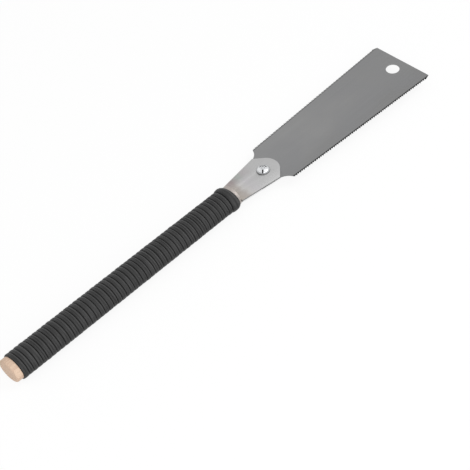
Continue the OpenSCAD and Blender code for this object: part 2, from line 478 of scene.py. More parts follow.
@dataclass(frozen=True)
class BrightPlate(Finish):
    """Plating of the washer and the nut, with painted shade round the rim."""

    name: str = "bright_plate"
    colour: Colour = (0.52, 0.53, 0.54, 1.0)
    dull: Colour = (0.36, 0.37, 0.38, 1.0)
    dull_share: float = 0.5
    dull_band: Span = (0.45, 0.75)
    painted_shade: Colour = (0.17, 0.17, 0.17, 1.0)
    spot_spans: Triple = (1.5 * MM, 1.5 * MM, 1.5 * MM)
    fine_spans: Triple = (0.15 * MM, 0.15 * MM, 0.15 * MM)
    fine_depth: float = 0.003 * MM
    top: Triple = (0.0, 0.0, 0.0)
    rim_radius: float = 1.0
    rim_band: Span = (0.35 * MM, 0.1 * MM)
    roughness: float = 0.26
    rough_play: float = 0.2

    def paint(self, sheet: NodeSheet) -> Signal:
        """Draws plating with faint dull spots and painted shade at the rim.

        Args:
            sheet: Empty node sheet of the material.

        Returns:
            The shader.
        """
        place = sheet.place()
        spots = sheet.grain(place, self.spot_spans, 4.0)
        fine = sheet.grain(place, self.fine_spans)
        clean = sheet.blend(spots.step(*self.dull_band) * self.dull_share, self.colour, self.dull)
        # The dark colour at the rim is painted shade.
        return sheet.surface(Base_Color=sheet.blend(self.shade_mask(sheet, place), clean, self.painted_shade),
                             Metallic=1.0, Roughness=spots.about(self.roughness, self.rough_play),
                             Normal=sheet.relief(fine, self.fine_depth))

    def shade_mask(self, sheet: NodeSheet, place: Signal) -> Signal:
        """Share of painted shade at a place: full at the rim."""
        return self.arm(sheet, place).step(*(self.rim_radius - inset for inset in self.rim_band))

    def arm(self, sheet: NodeSheet, place: Signal) -> Signal:
        """Distance of a place from the piece's axis."""
        x, y, _ = sheet.axes(place)
        return ((x - self.top[0]) ** 2 + (y - self.top[1]) ** 2) ** 0.5


@dataclass(frozen=True)
class ScrewPlate(BrightPlate):
    """Brighter plating of the clamp screw, with painted shade in one end of its slot and round the recess.
    """

    name: str = "screw_plate"
    colour: Colour = (0.72, 0.73, 0.74, 1.0)
    dull: Colour = (0.56, 0.57, 0.58, 1.0)
    painted_shade: Colour = (0.02, 0.02, 0.02, 1.0)
    slot_half: float = 0.5 * MM
    slot_fade: float = 0.1 * MM
    slot_start: Span = (0.4 * MM, 1.2 * MM)
    slot_turn: float = 0.0
    ring_radius: float = 2.85 * MM
    ring_band: Span = (0.45 * MM, 0.75 * MM)
    ring_end: Span = (-1.6 * MM, -0.8 * MM)
    ring_share: float = 0.9

    def shade_mask(self, sheet: NodeSheet, place: Signal) -> Signal:
        """Share of painted shade at a place: full in one end of the slot, less along the far side of the
        recess.

        Args:
            sheet: Node sheet of the material.
            place: Object coordinates.

        Returns:
            The share, from 0 to 1.
        """
        x, y, _ = sheet.axes(place)
        way_x, way_y = -math.cos(self.slot_turn), -math.sin(self.slot_turn)
        toward = (x - self.top[0]) * way_x + (y - self.top[1]) * way_y
        across = abs((x - self.top[0]) * way_y - (y - self.top[1]) * way_x)
        beside = across.step(self.slot_half, self.slot_half + self.slot_fade)
        # The dark slot end and the arc round the recess are painted shade.
        slot = (1 - beside) * toward.step(*self.slot_start)
        off_ring = abs(self.arm(sheet, place) - self.ring_radius)
        ring = (1 - off_ring.step(*self.ring_band)) * (1 - toward.step(*self.ring_end))
        return sheet.math("MAXIMUM", slot, ring * self.ring_share)


@dataclass(frozen=True)
class FerruleSteel(Finish):
    """Warm satin of the ferrule."""

    name: str = "ferrule_steel"
    colour: Colour = (0.44, 0.40, 0.375, 1.0)
    worn: Colour = (0.36, 0.32, 0.295, 1.0)
    worn_share: float = 0.5
    worn_band: Span = (0.4, 0.75)
    cloud_spans: Triple = (5 * MM, 5 * MM, 5 * MM)
    line_spans: Triple = (0.2 * MM, 25 * MM, 25 * MM)
    line_depth: float = 0.006 * MM
    metal: float = 0.75
    roughness: float = 0.5
    rough_play: float = 0.16

    def paint(self, sheet: NodeSheet) -> Signal:
        """Draws satin metal with lines round the handle.

        Args:
            sheet: Empty node sheet of the material.

        Returns:
            The shader.
        """
        place = sheet.place()
        lines = sheet.grain(place, self.line_spans, 3.0)
        wear = sheet.grain(place, self.cloud_spans).step(*self.worn_band) * self.worn_share
        return sheet.surface(Base_Color=sheet.blend(wear, self.colour, self.worn), Metallic=self.metal,
                             Roughness=lines.about(self.roughness, self.rough_play),
                             Normal=sheet.relief(lines, self.line_depth))


@dataclass(frozen=True)
class PaleWood(Finish):
    """Bare pale wood with its grain along the handle."""

    name: str = "pale_wood"
    light: Colour = (0.84, 0.622, 0.465, 1.0)
    late: Colour = (0.685, 0.46, 0.342, 1.0)
    late_share: float = 0.55
    late_band: Span = (0.35, 0.95)
    pore: Colour = (0.52, 0.34, 0.24, 1.0)
    pore_share: float = 0.5
    pore_band: Span = (0.6, 0.72)
    pore_depth: float = 0.03 * MM
    heart_y: float = 0.0
    heart_z: float = 0.0
    ring_width: float = 1.6 * MM
    ring_sway: float = 1.4
    sway_spans: Triple = (70 * MM, 9 * MM, 9 * MM)
    fibre_spans: Triple = (14 * MM, 0.22 * MM, 0.22 * MM)
    roughness: float = 0.62
    rough_play: float = 0.2

    def paint(self, sheet: NodeSheet) -> Signal:
        """Draws growth rings round the heart of the tree and fine fibres.

        Args:
            sheet: Empty node sheet of the material.

        Returns:
            The shader.
        """
        place = sheet.place()
        _, y, z = sheet.axes(place)
        sway = sheet.grain(place, self.sway_spans) * self.ring_sway
        far = ((y - self.heart_y) ** 2 + (z - self.heart_z) ** 2) ** 0.5
        ring = sheet.math("FRACT", far / self.ring_width + sway)
        fibres = sheet.grain(place, self.fibre_spans, 3.0)
        pores = fibres.step(*self.pore_band)
        colour = sheet.blend(ring.step(*self.late_band) * self.late_share, self.light, self.late)
        colour = sheet.blend(pores * self.pore_share, colour, self.pore)
        return sheet.surface(Base_Color=colour, Roughness=fibres.about(self.roughness, self.rough_play),
                             Normal=sheet.relief(1 - pores, self.pore_depth))


@dataclass(frozen=True)
class WoundStrip(Finish):
    """Satin black strip of laid strands, with painted shade at its edges, at the back of each turn on top
    and on its lower side.

    Its map counts turns along the strip and shares across it.
    """

    name: str = "wound_strip"
    dark: Colour = (0.012, 0.012, 0.0122, 1.0)
    light: Colour = (0.086, 0.086, 0.0864, 1.0)
    shade: Colour = (0.010, 0.010, 0.010, 1.0)
    edge: float = 0.14
    strands: float = 2.0
    strand_sway: float = 0.6
    strand_share: float = 0.4
    height_share: float = 0.85
    cloud_share: float = 0.1
    contrast: Span = (0.3, 0.7)
    sway_spans: Triple = (0.5, 0.6, 1.0)
    fibre_spans: Triple = (0.7, 0.15, 1.0)
    cloud_spans: Triple = (0.3, 1.5, 1.0)
    top_turn: float = 0.0
    top_shade: float = 0.6
    top_shade_turn: Span = (-0.1, 0.7)
    top_shade_share: Span = (0.0, 0.85)
    shaded: float = 0.7
    shaded_turn: Span = (-0.45, 0.2)
    gloss: float = 0.24
    depth: float = 0.09 * MM
    roughness: float = 0.48
    rough_play: float = 0.2

    def paint(self, sheet: NodeSheet) -> Signal:
        """Draws strands and fibres that run along the strip, with painted shade at its edges, at the back
        of each turn on top and on its lower side.

        Args:
            sheet: Empty node sheet of the material.

        Returns:
            The shader.
        """
        strip = sheet.place("UV")
        turn, share, _ = sheet.axes(strip)
        facing = sheet.math("COSINE", (turn - self.top_turn) * FULL_TURN)
        # Painted shade across the back of each turn where the strip faces up.
        top_shading = facing.step(*self.top_shade_turn) * (1 - share.step(*self.top_shade_share)) * self.top_shade
        # Painted shade on the turns that face down.
        under = (1 - facing.step(*self.shaded_turn)) * self.shaded
        sway = sheet.grain(strip, self.sway_spans).about(0.0, self.strand_sway)
        strand = 0.5 - sheet.math("COSINE", (share * self.strands + sway) * FULL_TURN) * 0.5
        fibres = sheet.grain(strip, self.fibre_spans, 3.0)
        clouds = sheet.grain(strip, self.cloud_spans)
        height = strand * self.strand_share + fibres.step(*self.contrast) * (1 - self.strand_share)
        level = height * self.height_share + clouds.step(*self.contrast) * self.cloud_share
        level = level * (1 - top_shading) * (1 - under)
        # Painted shade in the grooves along the strip's edges.
        inward = 0.5 - abs(share - 0.5)
        body = sheet.blend(level, self.dark, self.light)
        return sheet.surface(Base_Color=sheet.blend(inward.step(0.0, self.edge), self.shade, body),
                             Roughness=fibres.about(self.roughness, self.rough_play),
                             Specular_IOR_Level=self.gloss, Normal=sheet.relief(height, self.depth))


@dataclass(frozen=True)
class PaleFloor(Finish):
    """White studio floor that keeps a soft shadow."""

    name: str = "pale_floor"
    glow: float = 0.89
    shade: float = 0.13
    bounce: float = 0.8

    def paint(self, sheet: NodeSheet) -> Signal:
        """Draws a floor that glows white for the eye and lies matte for the light.

        Args:
            sheet: Empty node sheet of the material.

        Returns:
            The shader.
        """
        lit = sheet.tap("ShaderNodeBsdfDiffuse", None, {"Color": grey(self.bounce)})
        soft = sheet.tap("ShaderNodeBsdfDiffuse", None, {"Color": grey(self.shade)})
        glow = sheet.tap("ShaderNodeEmission", None, {"Color": grey(1.0), "Strength": self.glow})
        return sheet.two_faced(lit, sheet.tap("ShaderNodeAddShader", None, {0: soft, 1: glow}))


class Mode(Enum):
    """What an edit-mode selection is made of."""

    VERT = "VERT"
    EDGE = "EDGE"
    FACE = "FACE"


def clear_selection() -> None:
    """Deselects every object, so that operators act on the piece at hand alone."""
    bpy.ops.object.select_all(action="DESELECT")


def middle(edge: bmesh.types.BMEdge) -> Vector:
    """Middle point of an edge."""
    return (edge.verts[0].co + edge.verts[1].co) / 2


def is_folded(edge: bmesh.types.BMEdge) -> bool:
    """Whether the faces beside an edge meet at a clear angle."""
    return edge.calc_face_angle(0.0) > FOLD


class Bench:
    """One mesh on the bench, shaped step by step with edit-mode operators."""

    def __init__(self, name: str) -> None:
        """Takes up the primitive that was added last and settles it at the origin.

        Args:
            name: Name of the piece.
        """
        self.piece: bpy.types.Object = bpy.context.active_object
        self.piece.name = name
        self.piece.data.name = name
        self.hold()
        bpy.ops.object.transform_apply(location=True, rotation=True, scale=True)

    @classmethod
    def vertex(cls, name: str, place: Vector) -> "Bench":
        """Starts from a single vertex.

        Args:
            name: Name of the piece.
            place: Where the vertex lies.

        Returns:
            The bench.
        """
        clear_selection()
        bpy.ops.mesh.primitive_plane_add(size=MM, location=place)
        bench = cls(name)
        with bench.editing():
            bench.pick_all()
            bpy.ops.mesh.merge(type="CENTER")
        return bench

    @classmethod
    def sheet(cls, name: str, centre: Vector, length: float, width: float) -> "Bench":
        """Starts from a flat rectangle.

        Args:
            name: Name of the piece.
            centre: Its middle.
            length: Size along X.
            width: Size along Y.

        Returns:
            The bench.
        """
        clear_selection()
        bpy.ops.mesh.primitive_plane_add(size=1, location=centre)
        bpy.context.active_object.scale = (length, width, 1)
        return cls(name)

    @classmethod
    def block(cls, name: str, low: Vector, high: Vector) -> "Bench":
        """Starts from a box between two corners.

        Args:
            name: Name of the piece.
            low: Lowest corner.
            high: Highest corner.

        Returns:
            The bench.
        """
        clear_selection()
        bpy.ops.mesh.primitive_cube_add(size=1, location=(low + high) / 2)
        bpy.context.active_object.scale = high - low
        return cls(name)

    @classmethod
    def hoop(cls, name: str, centre: Vector, radius: float, sides: int) -> "Bench":
        """Starts from a flat ring of edges.

        Args:
            name: Name of the piece.
            centre: Middle of the ring.
            radius: Its radius.
            sides: Count of its edges.

        Returns:
            The bench.
        """
        clear_selection()
        bpy.ops.mesh.primitive_circle_add(vertices=sides, radius=radius, location=centre)
        return cls(name)

    @classmethod
    def rod(cls, name: str, foot: Vector, radius: float, height: float, sides: int = 64) -> "Bench":
        """Starts from an upright round rod.

        Args:
            name: Name of the piece.
            foot: Middle of its lower end.
            radius: Its radius.
            height: Its height.
            sides: Count of its sides.

        Returns:
            The bench.
        """
        clear_selection()
        bpy.ops.mesh.primitive_cylinder_add(vertices=sides, radius=radius, depth=height,
                                            location=foot + Vector((0, 0, height / 2)))
        return cls(name)

    @classmethod
    def oval_bar(cls, name: str, low: Vector, high: Vector, sides: int = 96) -> "Bench":
        """Starts from an oval bar along X that fills a box.

        Args:
            name: Name of the piece.
            low: Lowest corner of the box.
            high: Highest corner of the box.
            sides: Count of its sides.

        Returns:
            The bench.
        """
        clear_selection()
        size = high - low
        bpy.ops.mesh.primitive_cylinder_add(vertices=sides, radius=0.5, depth=size.x,
                                            location=(low + high) / 2, rotation=(0, math.pi / 2, 0))
        bpy.context.active_object.scale = (size.z, size.y, 1)
        return cls(name)

    def hold(self) -> None:
        """Makes the piece the only selected and the active object."""
        clear_selection()
        self.piece.select_set(True)
        bpy.context.view_layer.objects.active = self.piece

    @contextmanager
    def editing(self) -> Iterator[None]:
        """Keeps the piece in edit mode, with nothing selected at the start."""
        self.hold()
        bpy.ops.object.mode_set(mode="EDIT")
        bpy.ops.mesh.select_mode(type=Mode.VERT.value)
        bpy.ops.mesh.select_all(action="DESELECT")
        yield
        bpy.ops.object.mode_set(mode="OBJECT")

    def pick(self, mode: Mode, test: Callable[[Any], bool]) -> None:
        """Selects what passes a test, and nothing else.

        Args:
            mode: Whether vertices, edges or faces are picked.
            test: Says whether one of them is wanted.
        """
        bpy.ops.mesh.select_mode(type=mode.value)
        bpy.ops.mesh.select_all(action="DESELECT")
        net = bmesh.from_edit_mesh(self.piece.data)
        items = {Mode.VERT: net.verts, Mode.EDGE: net.edges, Mode.FACE: net.faces}[mode]
        for item in items:
            if test(item):
                item.select_set(True)
        net.select_flush_mode()
        bmesh.update_edit_mesh(self.piece.data)

    def pick_vertex(self, place: Vector) -> None:
        """Selects the vertex at a place."""
        self.pick(Mode.VERT, lambda vert: (vert.co - place).length < NEAR)

    def pick_all(self) -> None:
        """Selects the whole mesh."""
        bpy.ops.mesh.select_all(action="SELECT")

    def extrude(self, way: Vector) -> None:
        """Extrudes what is selected along a way."""
        bpy.ops.mesh.extrude_region_move(TRANSFORM_OT_translate={"value": way})

    def extrude_through(self, start: Vector, *stops: Vector) -> None:
        """Extrudes the selected vertex from stop to stop.

        Args:
            start: Where the vertex lies.
            stops: Where the line turns or ends.
        """
        here = start
        for stop in stops:
            self.extrude(stop - here)
            here = stop

    def swing(self, centre: Vector, turn: float, steps: int) -> None:
        """Extrudes what is selected round an upright axis.

        Args:
            centre: A point on the axis.
            turn: Angle, counter-clockwise seen from above; the operator counts the other way.
            steps: Count of steps.
        """
        bpy.ops.mesh.spin(steps=steps, angle=-turn, center=centre, axis=(0, 0, 1))

    def move(self, way: Vector) -> None:
        """Moves what is selected."""
        bpy.ops.transform.translate(value=way)

    def resize(self, factors: Vector, centre: Vector) -> None:
        """Scales what is selected about a centre."""
        bpy.ops.transform.resize(value=factors, center_override=centre)

    def bevel(self, width: float, segments: int) -> None:
        """Rounds the selected edges."""
        bpy.ops.mesh.bevel(offset=width, segments=segments, affect="EDGES")

    def thicken(self, height: float) -> None:
        """Fills the outline with one face and raises it to a closed plate.

        Args:
            height: Thickness of the plate.
        """
        self.pick_all()
        bpy.ops.mesh.remove_doubles(threshold=WELD)
        bpy.ops.mesh.edge_face_add()
        self.extrude(Vector((0, 0, height)))
        self.face_out()

    def face_out(self) -> None:
        """Welds doubles and turns every face outwards."""
        self.pick_all()
        bpy.ops.mesh.remove_doubles(threshold=WELD)
        bpy.ops.mesh.normals_make_consistent(inside=False)

    def round_rims(self, width: float, segments: int, test: Callable[[Vector], bool]) -> None:
        """Rounds the sharp edges whose middle passes a test.

        Args:
            width: Width of the rounding.
            segments: Its segments.
            test: Says whether an edge's middle lies on a wanted rim.
        """
        with self.editing():
            self.pick(Mode.EDGE, lambda edge: is_folded(edge) and test(middle(edge)))
            self.bevel(width, segments)

    def apply(self, modifier: bpy.types.Modifier) -> None:
        """Applies a modifier to the mesh."""
        self.hold()
        bpy.ops.object.modifier_apply(modifier=modifier.name)

    def carve(self, cutter: "Bench") -> None:
        """Cuts another bench's shape out of the piece and clears it away.

        Args:
            cutter: Bench with the shape to cut out.
        """
        cut = self.piece.modifiers.new("cut", "BOOLEAN")
        cut.operation = "DIFFERENCE"
        cut.solver = "EXACT"
        cut.object = cutter.piece
        self.apply(cut)
        shape = cutter.piece.data
        bpy.data.objects.remove(cutter.piece)
        bpy.data.meshes.remove(shape)

    def drill(self, place: Vector, radius: float, low_z: float, high_z: float) -> None:
        """Drills an upright hole.

        Args:
            place: A point on the hole's axis.
            radius: Radius of the hole.
            low_z: Lower face of what is drilled.
            high_z: Its upper face.
        """
        spare = MM
        foot = Vector((place.x, place.y, low_z - spare))
        self.carve(Bench.rod("drill", foot, radius, high_z - low_z + 2 * spare))

    def deliver(self, body: str, slot: str, finish: bpy.types.Material, node: str) -> None:
        """Dresses the piece and sets it riding in place of a node.

        Args:
            body: Body that carries it.
            slot: Material slot of the record; not used.
            finish: Material of its surface.
            node: Node that it stands for.
        """
        self.hold()
        bpy.ops.object.shade_smooth_by_angle(angle=SMOOTH)
        self.piece.data.materials.clear()
        self.piece.data.materials.append(finish)
        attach(self.piece, body)
        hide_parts(node)
        LOG.info("%s stands for %s with %d faces", self.piece.name, node, len(self.piece.data.polygons))


class ToothRow(Enum):
    """Rows of teeth: side of the blade, count of teeth, depth and lean of a tooth."""

    CROSSCUT = (1, 96, 1.2 * MM, 0.32)
    RIP = (-1, 72, 1.3 * MM, 0.12)

    def __init__(self, side: int, count: int, depth: float, lean: float) -> None:
        """Keeps a row's numbers under their names.

        Args:
            side: 1 for the +Y edge, -1 for the other.
            count: Count of teeth.
            depth: Depth of a gullet.
            lean: Place of a tip between its gullets, from 0 to 1; an upright tooth has 0.5.
        """
        self.side = side
        self.count = count
        self.depth = depth
        self.lean = lean


@dataclass
class Blade:
    """Thin sheet with a toothed edge on each side, hollow shoulders and a slotted tang."""

    length: float = 150 * MM
    heel_width: float = 46.4 * MM
    corner_length: float = 5 * MM
    corner_depth: float = 1.5 * MM
    shoulder_length: float = 11 * MM
    shoulder_radius: float = 11.5 * MM
    neck_width: float = 29.4 * MM
    tang_width: float = 22 * MM
    heel_blunt: Span = (0.6 * MM, 0.5 * MM)
    slot_width: float = 5.6 * MM
    hole_inset: float = 12 * MM
    hole_radius: float = 5.5 * MM
    root_margin: float = 0.3 * MM
    tooth_set: float = 0.07 * MM
    tooth_grind: float = 0.35 * MM
    rim: float = 0.08 * MM
    rim_segments: int = 1
    arc_steps: int = 12

    def __post_init__(self) -> None:
        """Reads the blade's stations off the frame."""
        low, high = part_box("blade")
        self.low_z, self.high_z = low.z, high.z
        self.tang_x, self.tip_x = low.x, high.x
        self.tip_half = high.y
        self.heel_x = self.tip_x - self.length
        self.teeth_length = self.length - self.corner_length
        self.teeth_x = self.heel_x + self.teeth_length
        self.slope = (self.tip_half - self.heel_width / 2) / self.teeth_length
        self.slot_x = box_middle("clamp_screw").x
        self.hole = Vector((self.tip_x - self.hole_inset, 0, self.low_z))

    def at(self, x: float, y: float) -> Vector:
        """Point on the blade's lower face."""
        return Vector((x, y, self.low_z))

    def heel(self, side: int) -> Vector:
        """Corner between a row of teeth and its shoulder."""
        return self.at(self.heel_x, side * self.heel_width / 2)

    def edge_half(self, x: float) -> float:
        """Half width over the teeth at a station."""
        return self.heel_width / 2 + self.slope * (x - self.heel_x)

    def build(self) -> None:
        """Models the blade and sets it riding."""
        centre = self.at(self.heel_x + self.teeth_length / 2, 0)
        bench = Bench.sheet("blade_sheet", centre, self.teeth_length, self.heel_width)
        with bench.editing():
            self.draw_outline(bench)
            bench.thicken(self.high_z - self.low_z)
        bench.drill(self.hole, self.hole_radius, self.low_z, self.high_z)
        bench.round_rims(self.rim, self.rim_segments,
                         lambda p: (p.xy - self.hole.xy).length < self.hole_radius + NEAR)
        with bench.editing():
            for row in ToothRow:
                self.sharpen(bench, row)
            bench.face_out()
        steel = BladeSteel(heel_x=self.heel_x, heel_half=self.heel_width / 2, slope=self.slope,
                           length=self.length)
        bench.deliver("blade", "blade_steel", steel.material(), "blade")

    def draw_outline(self, bench: Bench) -> None:
        """Turns the rectangle into the blade's outline.

        Args:
            bench: Bench in edit mode with the rectangle.
        """
        bench.pick(Mode.EDGE, lambda edge: middle(edge).x > self.teeth_x - NEAR)
        bench.resize(Vector((1, 2 * self.tip_half / self.heel_width, 1)), self.at(self.teeth_x, 0))
        bench.extrude(Vector((self.corner_length, 0, 0)))
        bench.resize(Vector((1, 1 - self.corner_depth / self.tip_half, 1)), self.at(self.tip_x, 0))
        bench.pick(Mode.FACE, lambda face: True)
        bpy.ops.mesh.delete(type="ONLY_FACE")
        inner = [self.at(self.heel_x, 0), self.at(self.teeth_x, 0)]
        bench.pick(Mode.EDGE, lambda edge: any((middle(edge) - point).length < NEAR for point in inner))
        bpy.ops.mesh.delete(type="EDGE")
        for row in ToothRow:
            self.cut_teeth(bench, row)
            self.draw_neck(bench, row.side)
            self.blunt_heel(bench, row.side)
        bench.pick_vertex(self.at(self.slot_x, self.slot_width / 2))
        bench.swing(self.at(self.slot_x, 0), -math.pi, 2 * self.arc_steps)

    def cut_teeth(self, bench: Bench, row: ToothRow) -> None:
        """Divides a long edge and draws its gullets in.

        Args:
            bench: Bench in edit mode with the outline.
            row: Row of teeth to cut.
        """
        half_step = self.teeth_length / row.count / 2
        lean_way = (1 - 2 * row.lean) * half_step
        bench.pick(Mode.EDGE, lambda edge: self.is_toothed(middle(edge), row))
        bpy.ops.mesh.subdivide(number_cuts=1)
        bpy.ops.mesh.subdivide(number_cuts=row.count - 1)
        bench.pick(Mode.VERT, lambda vert: self.is_toothed(vert.co, row)
                   and round((vert.co.x - self.heel_x) / half_step) % 2 == 1)
        bench.move(Vector((lean_way, row.side * (self.slope * lean_way - row.depth), 0)))

    def is_toothed(self, place: Vector, row: ToothRow) -> bool:
        """Whether a place on the outline lies along a row of teeth."""
        return place.y * row.side > self.heel_width / 4 and place.x < self.teeth_x - NEAR

    def draw_neck(self, bench: Bench, side: int) -> None:
        """Draws a hollow shoulder, one side of the neck and the tang, and one side of the slot.

        Args:
            bench: Bench in edit mode with the outline.
            side: 1 for the +Y side, -1 for the other.
        """
        heel = self.heel(side)
        root = self.at(self.heel_x - self.shoulder_length, side * self.neck_width / 2)
        chord = root - heel
        outward = Vector((chord.y, -chord.x, 0)).normalized() * side
        reach = math.sqrt(self.shoulder_radius ** 2 - chord.length_squared / 4)
        centre = (heel + root) / 2 + outward * reach
        arms = heel - centre, root - centre
        turn = math.copysign(arms[0].angle(arms[1]), arms[0].cross(arms[1]).z)
        bench.pick_vertex(heel)
        bench.swing(centre, turn, self.arc_steps)
        tang_half = side * self.tang_width / 2
        slot_half = side * self.slot_width / 2
        bench.extrude_through(root, self.at(root.x - abs(root.y - tang_half), tang_half),
                              self.at(self.tang_x, tang_half), self.at(self.tang_x, slot_half),
                              self.at(self.slot_x, slot_half))

    def blunt_heel(self, bench: Bench, side: int) -> None:
        """Draws the corner between a row of teeth and its shoulder in.

        Args:
            bench: Bench in edit mode with the outline.
            side: 1 for the +Y side, -1 for the other.
        """
        forward, inward = self.heel_blunt
        bench.pick_vertex(self.heel(side))
        bench.move(Vector((forward, -side * inward, 0)))

    def tooth_of(self, place: Vector, row: ToothRow) -> int | None:
        """Number of the tooth whose tip lies at a place.

        Args:
            place: Place of a vertex.
            row: Row of teeth.

        Returns:
            The tooth's number, or None away from a tip inside the row.
        """
        step = self.teeth_length / row.count
        number = round((place.x - self.heel_x) / step)
        on_tip = abs(place.x - self.heel_x - number * step) < NEAR
        on_edge = abs(place.y * row.side - self.edge_half(place.x)) < NEAR
        return number if on_tip and on_edge and 0 < number < row.count else None

    def sharpen(self, bench: Bench, row: ToothRow) -> None:
        """Sets teeth to either side in turn and grinds each to a point on its outer face.

        Args:
            bench: Bench in edit mode with the toothed plate.
            row: Row of teeth.
        """
        along = Vector((1, row.side * self.slope, 0))
        across = Vector((0, 0, 1)).cross(along)
        root = self.at(self.heel_x, row.side * (self.heel_width / 2 - row.depth - self.root_margin))
        bench.pick_all()
        bpy.ops.mesh.bisect(plane_co=root, plane_no=across)
        mid_z = (self.low_z + self.high_z) / 2
        for parity, up in ((0, 1), (1, -1)):
            def is_tip(vert: bmesh.types.BMVert) -> bool:
                """Whether a vertex lies on a tip that leans this way."""
                number = self.tooth_of(vert.co, row)
                return number is not None and number % 2 == parity

            bench.pick(Mode.VERT, lambda vert: is_tip(vert) and (vert.co.z - mid_z) * up < 0)
            bench.move(Vector((0, -row.side * self.tooth_grind, up * self.tooth_set)))
            bench.pick(Mode.VERT, is_tip)
            bench.move(Vector((0, 0, up * self.tooth_set)))


@dataclass
class Holder:
    """Two plates that grip the tang, with tails pinned in the handle."""

    base_width: float = 21 * MM
    nose_radius: float = 12 * MM
    nose_angle: float = math.radians(45)
    nose_sides: int = 120
    tail_width: float = 13 * MM
    pin_hole: float = 1.55 * MM
    screw_hole: float = 2.8 * MM
    nut_hole: float = 3.35 * MM
    rim: float = 0.18 * MM
    rim_segments: int = 2

    def __post_init__(self) -> None:
        """Reads the holder's stations off the frame."""
        low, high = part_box("holder_top_plate")
        self.tail_x, nose_tip = low.x, high.x
        self.half_width = high.y
        self.base_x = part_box("ferrule")[1].x
        self.nose_x = nose_tip - self.nose_radius
        self.flank_x = self.nose_x + self.nose_radius * math.cos(self.nose_angle)
        self.flank_half = self.nose_radius * math.sin(self.nose_angle)
        reach = self.nose_radius - self.half_width * math.sin(self.nose_angle)
        self.shoulder_x = self.nose_x + reach / math.cos(self.nose_angle)

    def build(self) -> None:
        """Models both plates and dresses the hidden pieces between them."""
        low_z, high_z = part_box("holder_under_plate")[0].z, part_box("holder_top_plate")[1].z
        steel = HolderSteel(base_x=self.base_x, mid_z=(low_z + high_z) / 2,
                            face_half=(high_z - low_z) / 2).material()
        self.make_plate("top_plate", "holder_top_plate", self.screw_hole, steel)
        self.make_plate("under_plate", "holder_under_plate", self.nut_hole, steel)
        for name in ("plate_spacer", "tail_pins"):
            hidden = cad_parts[name].data
            hidden.materials.clear()
            hidden.materials.append(steel)
            LOG.info("%s keeps its packed shape", name)

    def make_plate(self, name: str, node: str, hole: float, steel: bpy.types.Material) -> None:
        """Models one plate from its nose back to its tail.

        Args:
            name: Name of the piece.
            node: Node that it stands for.
            hole: Radius of its hole for the screw or the nut.
            steel: Its material.
        """
        low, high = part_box(node)
        stations = [(self.shoulder_x, self.half_width), (self.base_x, self.base_width / 2),
                    (self.base_x, self.tail_width / 2), (self.tail_x, self.tail_width / 2)]
        bench = Bench.hoop(name, Vector((self.nose_x, 0, low.z)), self.nose_radius, self.nose_sides)
        with bench.editing():
            bench.pick(Mode.VERT, lambda vert: vert.co.x < self.flank_x - NEAR)
            bpy.ops.mesh.delete(type="VERT")
            for side in (1, -1):
                flank = Vector((self.flank_x, side * self.flank_half, low.z))
                bench.pick_vertex(flank)
                bench.extrude_through(flank, *(Vector((x, side * half, low.z)) for x, half in stations))
            bench.pick(Mode.VERT, lambda vert: vert.co.x < self.tail_x + NEAR)
            bpy.ops.mesh.edge_face_add()
            bench.thicken(high.z - low.z)
        bench.drill(box_middle("clamp_screw"), hole, low.z, high.z)
        for pin in pin_places():
            bench.drill(pin, self.pin_hole, low.z, high.z)
        bench.round_rims(self.rim, self.rim_segments,
                         lambda p: min(abs(p.z - low.z), abs(p.z - high.z)) < NEAR)
        bench.deliver("handle", "holder_steel", steel, node)


